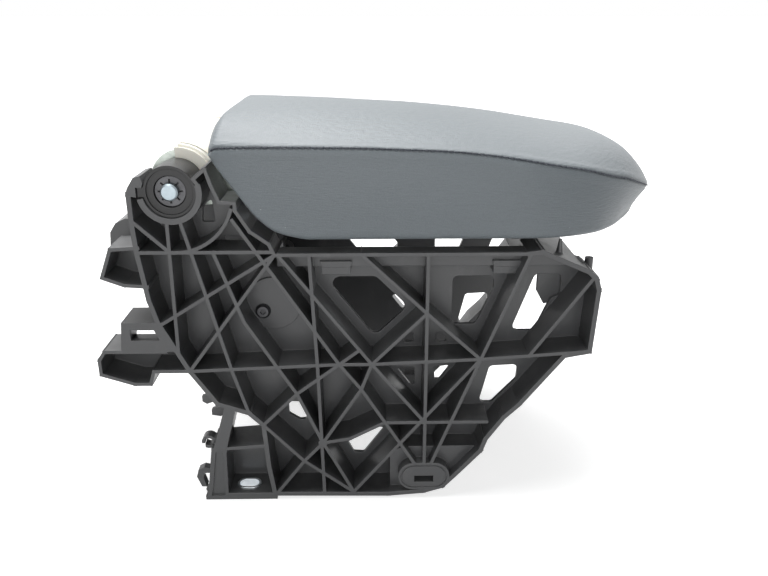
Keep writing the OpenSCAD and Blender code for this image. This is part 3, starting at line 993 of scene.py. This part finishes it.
@dataclass
class Swelling:
    """Lets a grid of cloth swell over the foam under it, by simulation.

    Attributes:
        pressure: Pressure under the cloth.
        hold: How far the foam holds the cloth where it isn't sewn, from 0 to 1.
        stretch_stiffness: How hard the cloth is to stretch and to press together.
        bend_stiffness: How hard it is to bend.
        frames: How many frames are simulated.
        limit: How far a point may move, in metres.
    """

    pressure: float = 4.0
    hold: float = 0.12
    stretch_stiffness: float = 40.0
    bend_stiffness: float = 2.0
    frames: int = 20
    limit: float = 0.0025

    def moves(self, grid: Grid, sewn: Callable[[int, int], bool]) -> Grid:
        """Simulates the cloth and gives how far each of its points moves.

        Args:
            grid: Rows of points across the pad, from its rear to its nose.
            sewn: Whether the point of a row and a column is sewn down.

        Returns:
            The moves in metres, in the grid's layout, none longer than the limit.
        """
        across = len(grid[0])
        points = [point for row in grid for point in row]
        faces = tube_faces(len(grid), across)
        faces += [tuple(range(across)), tuple(range(len(points) - 1, len(points) - across - 1, -1))]
        mesh = bpy.data.meshes.new("swelling")
        mesh.from_pydata([tuple(point) for point in points], [], faces)
        obj = bpy.data.objects.new("swelling", mesh)
        bpy.context.scene.collection.objects.link(obj)
        pins = obj.vertex_groups.new(name="sewn")
        for i in range(len(grid)):
            for j in range(across):
                pins.add([i * across + j], 1.0 if sewn(i, j) else self.hold, "REPLACE")
        settings = obj.modifiers.new("cloth", "CLOTH").settings
        settings.vertex_group_mass = "sewn"
        settings.use_pressure = True
        settings.uniform_pressure_force = self.pressure
        settings.effector_weights.gravity = 0.0
        settings.tension_stiffness = self.stretch_stiffness
        settings.compression_stiffness = self.stretch_stiffness
        settings.bending_stiffness = self.bend_stiffness
        for frame in range(1, self.frames + 1):
            bpy.context.scene.frame_set(frame)
        shaped = obj.evaluated_get(bpy.context.evaluated_depsgraph_get()).to_mesh()
        moved = [shaped.vertices[n].co - point for n, point in enumerate(points)]
        bpy.context.scene.frame_set(1)
        bpy.data.objects.remove(obj)
        longest = max(move.length for move in moved)
        LOG.info("the cloth swells by up to %.1f mm", longest / MM)
        moved = [move * min(1.0, self.limit / max(move.length, TINY)) for move in moved]
        return [moved[i * across:(i + 1) * across] for i in range(len(grid))]


@dataclass
class PadCover:
    """The upholstered pad: a crowned top panel sewn to the side panels all round.

    A station is a place along the pad, in millimetres ahead of the hinge pin's axis. The crown, the
    seam, the edge and the inset are read at distances from the pad's rear edge. Sizes are in
    millimetres.

    Attributes:
        rear: Station of the rear edge.
        tuck_end: Station where the rear tuck ends.
        nose_start: Station where the sides begin to curve in.
        nose: Station of the nose's tip.
        nose_turn: How far round the nose the last row lies, in degrees.
        half_width: Half width of the pad.
        fullness: How square the nose is in plan.
        bottom: Height of the lid's underside over the floor.
        pad: Thickness of the foam and its cover.
        hollow_end: Station of the hollow's front end.
        corner: Radius of the lower corner.
        side_per_corner: How many times its radius the side is tall, at least.
        foot_per_corner: How many times its radius the lower edge is wide, at least.
        least_side: Least height of the side.
        least_foot: Least half width of the lower edge.
        groove: Depth of the seam's groove.
        groove_width: Half width of the groove.
        groove_half: Half width of the pad from which the groove has its full depth.
        puff: How far the skin rises beside the groove.
        puff_at: How far from the seam it rises.
        puff_width: Half width of the rise.
        bulge: How far the side panel bulges.
        bulge_side: Height of the side from which it bulges fully.
        crown: Height of the crown's middle over the underside.
        seam: Height of the seam.
        edge: Height of the lower edge.
        inset: How far the lower edge lies inside the seam, square to it in plan.
        rear_tuck: How far the rear corners are tucked in, by station.
        shoulder: Exponent of the crown's section, by station: the higher, the squarer.
        tuck_steps: Steps along the rear tuck.
        tuck_ease: How much closer they are at the rear edge.
        middle_steps: Steps along the straight sides.
        nose_steps: Steps round the nose.
        corner_steps: Steps round the lower corner.
        side_steps: Steps up the side.
        side_ease: How much closer they are at the seam.
        crown_steps: Steps from the seam to the crown's middle.
        crown_ease: How much closer they are at the seam.
        still_rows: Rows at the lower edge that the groove and its puff don't move.
        cloth_row: Every how many rows the simulated cloth has one.
        cloth_column: Every how many points of a row it has one.
        held_half: Half width below which the narrow nose is held.
        hollow_half: Least half width of the hollow.
        below_seam: How far below the seam the hollow's roof starts.
        least_wall: Least height of the hollow's walls.
        least_roof: Least height of its roof's middle.
        wall_share: Share of a row's points that lie on the two walls.
        roof_form: Exponent of the roof's section.
        flat_share: Width of the flat underside, as a share of the foot's.
        flat_rise: How far that underside rises to its middle.
    """

    rear: float = 24.0
    tuck_end: float = 42.0
    nose_start: float = 214.0
    nose: float = 313.0
    nose_turn: float = 88.8
    half_width: float = 94.0
    fullness: float = 1.9
    bottom: float = 185.0
    pad: float = 12.0
    hollow_end: float = 250.0
    corner: float = 4.0
    side_per_corner: float = 6.0
    foot_per_corner: float = 3.0
    least_side: float = 0.6
    least_foot: float = 0.2
    groove: float = 1.3
    groove_width: float = 1.0
    groove_half: float = 12.0
    puff: float = 0.35
    puff_at: float = 4.2
    puff_width: float = 2.6
    bulge: float = 0.6
    bulge_side: float = 30.0
    crown: Curve = (
        (0, 67), (3, 70.5), (6, 72), (41, 72.3), (68, 71.5), (96, 70), (115, 69), (149, 66), (183, 62),
        (206, 58.5), (225, 55.8), (238, 54.2), (247, 52.5), (258, 48.6), (268, 43.2), (276, 36),
        (282, 29.5), (286, 25), (288, 22.5), (290, 19),
    )
    seam: Curve = (
        (0, 53), (5, 56), (26, 56.5), (86, 56), (115, 55), (141, 53.9), (170, 51), (188, 48.3), (204, 45.4),
        (225, 41.3), (244, 35.7), (256, 32.3), (268, 27), (279, 21.6), (290, 15.2),
    )
    edge: Curve = (
        (0, 51), (4, 45), (9, 37.5), (17, 26), (26, 14), (37, 5), (46, 2), (58, 0), (235, 0), (258, 0.3),
        (270, 1), (279, 3.2), (286, 6.5), (290, 7),
    )
    inset: Curve = ((190, 0), (212, 0.4), (235, 1.6), (254, 5.5), (270, 8.5), (282, 8.5), (290, 8.5))
    rear_tuck: Curve = ((24, 5), (27, 2.2), (33, 0.6), (42, 0))
    shoulder: Curve = ((24, 5), (36, 4.2), (70, 2.8), (100, 2.6))
    tuck_steps: int = 14
    tuck_ease: float = 1.6
    middle_steps: int = 60
    nose_steps: int = 70
    corner_steps: int = 6
    side_steps: int = 30
    side_ease: float = 1.7
    crown_steps: int = 56
    crown_ease: float = 1.55
    still_rows: int = 9
    cloth_row: int = 2
    cloth_column: int = 4
    held_half: float = 80.0
    hollow_half: float = 4.0
    below_seam: float = 8.0
    least_wall: float = 1.0
    least_roof: float = 2.0
    wall_share: float = 0.2
    roof_form: float = 2.6
    flat_share: float = 0.7
    flat_rise: float = 0.3

    @property
    def seam_row(self) -> int:
        """Number of the seam's place in a cross-section."""
        return self.corner_steps + self.side_steps

    def height(self, form: Curve, x: float) -> float:
        """Height of one of the forms over the floor, at a station."""
        return self.bottom + smooth_lookup(form, x - self.rear)

    def half(self, x: float) -> float:
        """Half width of the pad at its seam.

        Args:
            x: The station.

        Returns:
            The half width.
        """
        if x <= self.nose_start:
            return self.half_width - smooth_lookup(self.rear_tuck, x)
        share = min(1.0, (x - self.nose_start) / (self.nose - self.nose_start))
        return self.half_width * max(0.0, 1 - share * share) ** (1 / self.fullness)

    def outward(self, x: float) -> Span:
        """Which way the pad's side faces in plan.

        Args:
            x: The station.

        Returns:
            A direction of length 1, along X and across.
        """
        step = 0.01
        slope = (self.half(x) - self.half(x - step)) / step
        size = math.hypot(slope, 1.0)
        return -slope / size, 1.0 / size

    def foot(self, x: float) -> Span:
        """Where the lower edge lies that belongs to a station of the seam.

        Args:
            x: The station.

        Returns:
            How far it lies behind the station, and its half width.
        """
        ahead, across = self.outward(x)
        inset = smooth_lookup(self.inset, x - self.rear)
        return inset * ahead, max(self.least_foot, self.half(x) - inset * across)

    def stations(self) -> list[float]:
        """Places along the pad, close together where it turns.

        Returns:
            The stations, from the rear to the nose.
        """
        tuck, middle = self.tuck_end - self.rear, self.nose_start - self.tuck_end
        nose, turn = self.nose - self.nose_start, math.radians(self.nose_turn)
        rows = [self.rear + tuck * (i / self.tuck_steps) ** self.tuck_ease for i in range(self.tuck_steps)]
        rows += [self.tuck_end + middle * i / self.middle_steps for i in range(self.middle_steps)]
        for i in range(self.nose_steps + 1):
            rows.append(self.nose_start + nose * math.sin(turn * i / self.nose_steps))
        return rows

    def profile(self, x: float) -> list[Point]:
        """Half a cross-section, from the lower edge over the side to the middle of the crown.

        Args:
            x: The station.

        Returns:
            Rows of half width, height and distance along the skin from the seam.
        """
        wide, foot = self.half(x), self.foot(x)[1]
        low, top = self.height(self.edge, x), self.height(self.crown, x)
        high = max(self.height(self.seam, x), low + self.least_side)
        r = min(self.corner, (high - low) / self.side_per_corner, foot / self.foot_per_corner)
        rows: list[Span] = []
        for i in range(self.corner_steps + 1):
            turn = math.radians(270 - 90 * i / self.corner_steps)
            rows.append((foot - r - r * math.cos(turn), low + r + r * math.sin(turn)))
        tall = high - low - r
        for i in range(1, self.side_steps + 1):
            t = 1 - (1 - i / self.side_steps) ** self.side_ease
            swell = self.bulge * math.sin(math.pi * t) * min(1.0, tall / self.bulge_side)
            rows.append((foot + (wide - foot) * t + swell, low + r + tall * t))
        shoulder = smooth_lookup(self.shoulder, x)
        for i in range(1, self.crown_steps + 1):
            k = math.cos(math.pi / 2 * (i / self.crown_steps) ** self.crown_ease)
            rows.append((wide * k, high + (top - high) * (1 - k**shoulder)))
        lengths = [0.0]
        for a, b in zip(rows, rows[1:]):
            lengths.append(lengths[-1] + math.dist(a, b))
        at_seam = lengths[self.seam_row]
        return [(y, z, length - at_seam) for (y, z), length in zip(rows, lengths)]

    def outer_row(self, x: float, sewn_in: float = 1.0) -> list[Vector]:
        """The skin's points at a station, from the right lower edge to the left one.

        Args:
            x: The station.
            sewn_in: How far the seam pulls the skin in, from 0 to 1.

        Returns:
            The points.
        """
        half = self.profile(x)
        scale = sewn_in * min(1.0, self.half(x) / self.groove_half)
        ahead, across = self.outward(x)
        back = self.foot(x)[0]
        seam_z, corner_z = half[self.seam_row][1], half[self.corner_steps][1]
        right: list[Point] = []
        for i, (y, z, along) in enumerate(half):
            before, after = half[max(0, i - 1)], half[min(len(half) - 1, i + 1)]
            ty, tz = after[0] - before[0], after[1] - before[1]
            size = math.hypot(ty, tz) or 1.0
            ny, nz = tz / size, -ty / size
            sink = -self.groove * math.exp(-((along / self.groove_width) ** 2))
            puff = self.puff * math.exp(-(((abs(along) - self.puff_at) / self.puff_width) ** 2))
            push = (sink + puff) * scale if i >= self.still_rows else 0.0
            low = min(1.0, max(0.0, (seam_z - z) / (seam_z - corner_z)))
            right.append((x - back * low + ny * ahead * push, y + ny * across * push, z + nz * push))
        row = [place(a, -y, z) for a, y, z in right]
        row += [place(a, y, z) for a, y, z in reversed(right[:-1])]
        return row

    def inner_row(self, x: float, count: int) -> list[Vector]:
        """The hollow's points below the pad at a station, or a flat underside ahead of it.

        Args:
            x: The station.
            count: How many points.

        Returns:
            Points from the right edge to the left edge.
        """
        back, foot = self.foot(x)
        floor = self.height(self.edge, x)
        top = max(floor + self.least_roof, self.height(self.crown, x) - self.pad)
        wall = max(floor + self.least_wall, self.height(self.seam, x) - self.below_seam)
        side = self.half(x) - self.pad
        roof_share = 1 - self.wall_share
        row = []
        for i in range(count):
            t = 2 * i / (count - 1) - 1
            if x > self.hollow_end or side <= self.hollow_half:
                y = t * (self.flat_share * foot)
                z = floor + self.flat_rise * (1 - abs(t))
            elif abs(t) > roof_share:
                y = side * math.copysign(1.0, t)
                z = floor + (wall - floor) * (1 - abs(t)) / self.wall_share
            else:
                k = math.sin(math.pi / 2 * abs(t) / roof_share)
                y = side * math.copysign(k, t)
                z = wall + (top - wall) * (1 - k**self.roof_form)
            row.append(place(x if x <= self.hollow_end else x - back, y, z))
        return row

    def swollen(self, rows: Sequence[float], outers: Grid) -> Grid:
        """Moves the skin by what a coarser cloth of the same form does over the foam.

        Args:
            rows: The stations.
            outers: The skin's points at each station.

        Returns:
            The skin's points after the cloth has swollen.
        """
        last_row, last_column = len(outers) - 1, len(outers[0]) - 1
        seam = (self.seam_row, last_column - self.seam_row)

        def sewn(i: int, j: int) -> bool:
            """Whether a point of the cloth is on the seam, at an edge or on the narrow nose.

            Args:
                i: Number of its row in the cloth.
                j: Its number in the row.

            Returns:
                Whether it is sewn down.
            """
            row, column = i * self.cloth_row, j * self.cloth_column
            edge = column in (0, last_column) or row in (0, last_row)
            return edge or column in seam or self.half(rows[row]) < self.held_half

        coarse = [self.outer_row(x, 0.0)[::self.cloth_column] for x in rows[::self.cloth_row]]
        moves = refined(Swelling().moves(coarse, sewn), self.cloth_row)
        columns = refined([list(column) for column in zip(*moves)], self.cloth_column)
        return [[point + move for point, move in zip(row, line)] for row, line in zip(outers, zip(*columns))]

    def build(self, effects: Effects) -> bpy.types.Object:
        """Makes the cover's closed mesh.

        Args:
            effects: The shared node groups.

        Returns:
            The cover.
        """
        rows = self.stations()
        outers = self.swollen(rows, [self.outer_row(x) for x in rows])
        across = len(outers[0])
        ring = 2 * across
        verts: list[Vector] = []
        for x, outer in zip(rows, outers):
            verts += outer + self.inner_row(x, across)[::-1]
        faces = tube_faces(len(rows), ring)
        for base, flip in ((0, False), ((len(rows) - 1) * ring, True)):
            for j in range(across - 1):
                quad = (base + j, base + j + 1, base + ring - 2 - j, base + ring - 1 - j)
                faces.append(quad[::-1] if flip else quad)
        obj = new_piece("pad_cover", verts, faces, Body.LID, LEATHERETTE, effects)
        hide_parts("lid_pad")
        return obj


@dataclass
class Stitching:
    """The thread in the groove of the pad's seam. Sizes are in millimetres.

    Attributes:
        pad: The pad that it sews.
        pitch: From one stitch to the next.
        length: Length of a stitch.
        radius: Radius of the thread.
        sunk: How far a stitch's middle lies below the seam's line.
        dip: How much deeper its ends lie.
        taper: Share of the radius that the ends lose.
        around: Points round the thread.
        along: Rings along a stitch.
        first: How far from the pad's rear edge the first stitch starts.
        turn: How far round the nose the seam's line is read, in degrees.
        readings: How many times it is read on each side.
        middle_x: Where along the pad the stitches' undersides look to.
        fall: How far below the seam's line they look.
    """

    pad: PadCover
    pitch: float = 3.6
    length: float = 3.5
    radius: float = 0.5
    sunk: float = 0.25
    dip: float = 0.55
    taper: float = 0.5
    around: int = 8
    along: int = 7
    first: float = 1.0
    turn: float = 89.5
    readings: int = 1500
    middle_x: float = 120.0
    fall: float = 30.0

    def path(self) -> list[Vector]:
        """Follows the seam round the nose, from the right rear corner to the left one.

        Returns:
            Points one pitch apart.
        """
        pad, turn = self.pad, math.radians(self.turn)
        span = pad.nose - pad.rear
        fine = [pad.rear + span * math.sin(turn * i / self.readings) for i in range(self.readings + 1)]
        fine = [x for x in fine if x > pad.rear + self.first]
        right = [place(x, -pad.half(x), pad.height(pad.seam, x)) for x in fine]
        line = right + [Vector((p.x, -p.y, p.z)) for p in reversed(right)]
        step = self.pitch * MM
        ends, travelled, wanted = [line[0]], 0.0, step
        for a, b in zip(line, line[1:]):
            gap = (b - a).length
            while gap > 0 and travelled + gap >= wanted:
                ends.append(a.lerp(b, (wanted - travelled) / gap))
                wanted += step
            travelled += gap
        return ends

    def stitch(self, a: Vector, b: Vector) -> list[Vector]:
        """The points of one stitch, whose ends dip into the groove.

        Args:
            a: Where it starts.
            b: Where the next one starts.

        Returns:
            Its rings, one after the other.
        """
        ahead = (b - a).normalized()
        centre = place(self.middle_x, 0, 0)
        inward = Vector((centre.x - a.x, centre.y - a.y, -self.fall * MM))
        inward = (inward - ahead * inward.dot(ahead)).normalized()
        across = ahead.cross(inward)
        points = []
        for i in range(self.along):
            t = i / (self.along - 1)
            depth = self.sunk + self.dip * (2 * t - 1) ** 4
            size = self.radius * (1 - self.taper * (2 * t - 1) ** 6)
            middle = a.lerp(b, 0.5) + ahead * (t - 0.5) * self.length * MM + inward * depth * MM
            for j in range(self.around):
                angle = 2 * math.pi * j / self.around
                points.append(middle + (inward * math.cos(angle) + across * math.sin(angle)) * size * MM)
        return points

    def build(self, effects: Effects) -> bpy.types.Object:
        """Lays the stitches in the seam's groove.

        Args:
            effects: The shared node groups.

        Returns:
            The stitches, as one piece.
        """
        verts: list[Vector] = []
        faces: list[Face] = []
        ends = self.path()
        for a, b in zip(ends, ends[1:]):
            start = len(verts)
            last = start + (self.along - 1) * self.around
            verts += self.stitch(a, b)
            faces += tube_faces(self.along, self.around, start, inside_out=True)
            faces.append(tuple(start + j for j in reversed(range(self.around))))
            faces.append(tuple(last + j for j in range(self.around)))
        return new_piece("pad_stitching", verts, faces, Body.LID, THREAD, effects)


@dataclass(frozen=True)
class Lamp:
    """A square soft lamp.

    Attributes:
        name: Its name.
        at: Where it hangs, in metres.
        towards: Where it points.
        size: Its side.
        radiance: How bright its face is, where 1 is white.
    """

    name: str
    at: Point
    towards: Point
    size: float
    radiance: float

    def hang(self) -> None:
        """Adds the lamp to the scene."""
        data = bpy.data.lights.new(self.name, "AREA")
        data.size = self.size
        data.energy = self.radiance * math.pi * self.size * self.size
        obj = bpy.data.objects.new(self.name, data)
        obj.location = self.at
        obj.rotation_euler = (Vector(self.towards) - Vector(self.at)).to_track_quat("-Z", "Y").to_euler()
        bpy.context.scene.collection.objects.link(obj)


@dataclass
class Studio:
    """The floor, the lamps and the camera.

    Attributes:
        camera_at: Where the camera stands, in metres.
        pitch_down: How far it looks down, in degrees.
        turn_right: How far it is turned to the right, in degrees.
        focal_px: Its focal length, in pixels of the picture.
        frame_px: Width of the picture, in pixels.
        sensor: Width of its sensor, in millimetres.
        near: The nearest that it sees, in metres.
        lamps: The lamps.
        floor_half: Half the floor's side, in metres.
        floor_drop: How far the floor lies below the part's feet.
        paper: The floor's colour.
        fibre: Colour of the paper's fibres.
        shadow_reach: From the part's middle, where the painted shade of the floor's glow starts to fade and
            where the glow is full.
        shadow_floor: The floor's glow under the part, dimmed there as painted shade.
        surround: How bright the surround is as light.
    """

    camera_at: Point = (-0.0098, -0.529, 0.3166)
    pitch_down: float = 20.43
    turn_right: float = 1.0
    focal_px: float = 750.0
    frame_px: float = 768.0
    sensor: float = 36.0
    near: float = 0.01
    lamps: tuple[Lamp, ...] = (
        Lamp("lamp_above", at=(-0.3, 0.35, 1.6), towards=(0.0, 0.0, 0.15), size=1.7, radiance=6.4),
        Lamp("lamp_front", at=(-0.1, -1.6, 0.4), towards=(0.0, 0.0, 0.1), size=1.2, radiance=2.8),
        Lamp("lamp_rear", at=(0.9, 1.4, 1.2), towards=(0.0, 0.0, 0.15), size=1.0, radiance=1.2),
    )
    floor_half: float = 30.0
    floor_drop: float = 0.0002
    paper: Colour = (0.6, 0.6, 0.6)
    fibre: Colour = (0.48, 0.485, 0.49)
    shadow_reach: Span = (0.3, 1.5)
    shadow_floor: float = 0.7
    surround: float = 0.16

    def build(self) -> None:
        """Adds everything."""
        self.add_camera()
        self.add_floor()
        self.add_world()
        for lamp in self.lamps:
            lamp.hang()
            LOG.info("%s is hung", lamp.name)
        bpy.context.scene.view_settings.view_transform = "Standard"

    def add_camera(self) -> None:
        """Sets the camera to the photograph's viewing angle."""
        data = bpy.data.cameras.new("camera")
        data.sensor_width = self.sensor
        data.lens = self.focal_px / self.frame_px * self.sensor
        data.clip_start = self.near
        obj = bpy.data.objects.new("camera", data)
        obj.location = self.camera_at
        obj.rotation_euler = (math.radians(90 - self.pitch_down), 0.0, math.radians(-self.turn_right))
        bpy.context.scene.collection.objects.link(obj)
        bpy.context.scene.camera = obj

    def add_floor(self) -> None:
        """Lays a white floor that shows to the camera as bright paper and keeps the shadow; its glow is
        dimmed round the part as painted shade.
        """
        mesh = bpy.data.meshes.new("floor")
        s = self.floor_half
        mesh.from_pydata([(-s, -s, 0), (s, -s, 0), (s, s, 0), (-s, s, 0)], [], [(0, 1, 2, 3)])
        obj = bpy.data.objects.new("floor", mesh)
        obj.location.z = -self.floor_drop
        bpy.context.scene.collection.objects.link(obj)
        material = bpy.data.materials.new("paper_white")
        material.use_nodes = True
        w = Wiring(material.node_tree)
        surface = w.node("ShaderNodeBsdfPrincipled")
        where = w.where()
        fibres = w.spread(w.noise(where, scale=900.0, detail=2.0), low=0.35, high=0.65)
        grain = w.times(w.noise(where, scale=60.0), fibres)
        away = w.node("ShaderNodeVectorMath", operation="LENGTH")
        w.join(where, away.inputs[0])
        # painted shade: the floor's glow is dimmed near the part's middle, so the shadow there reads darker
        own = w.spread(away.outputs["Value"], *self.shadow_reach, out=(self.shadow_floor, 1.0))
        w.supply(
            surface,
            Base_Color=w.blend(grain, self.paper, self.fibre),
            Roughness=0.9,
            Specular_IOR_Level=0.1,
            Emission_Color=WHITE,
            Emission_Strength=w.times(self.seen(w, 0.0), own),
        )
        w.supply(w.node("ShaderNodeOutputMaterial"), Surface=surface.outputs["BSDF"])
        mesh.materials.append(material)

    def seen(self, w: Wiring, unseen: float) -> Socket:
        """A strength that is 1 to rays from the camera, from gloss and through glass.

        Args:
            w: The wiring to add it to.
            unseen: The strength to every other ray.

        Returns:
            The strength.
        """
        path = w.node("ShaderNodeLightPath")
        shown = w.math("MAXIMUM", path.outputs["Is Camera Ray"], path.outputs["Is Glossy Ray"])
        shown = w.math("MAXIMUM", shown, path.outputs["Is Transmission Ray"])
        return w.plus(unseen, w.times(shown, 1.0 - unseen))

    def add_world(self) -> None:
        """Sets a white surround."""
        world = bpy.data.worlds.new("surround")
        world.use_nodes = True
        w = Wiring(world.node_tree)
        back = w.supply(w.node("ShaderNodeBackground"), Color=WHITE, Strength=self.seen(w, self.surround))
        w.supply(w.node("ShaderNodeOutputWorld"), Surface=back.outputs["Background"])
        bpy.context.scene.world = world


def main() -> None:
    """Loads the frame, dresses it and sets the studio."""
    logging.basicConfig(level=logging.INFO, format="%(name)s: %(message)s")
    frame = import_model()
    effects = Effects()
    for assembly in (Stand(), Hinge(), Slide(), Lid()):
        assembly.dress(frame["nodes"], effects)
    pad = PadCover()
    for maker in (pad, Stitching(pad)):
        piece = maker.build(effects)
        LOG.info("%s has %d faces", piece.name, len(piece.data.polygons))
    Studio().build()


if __name__ == "__main__":
    main()
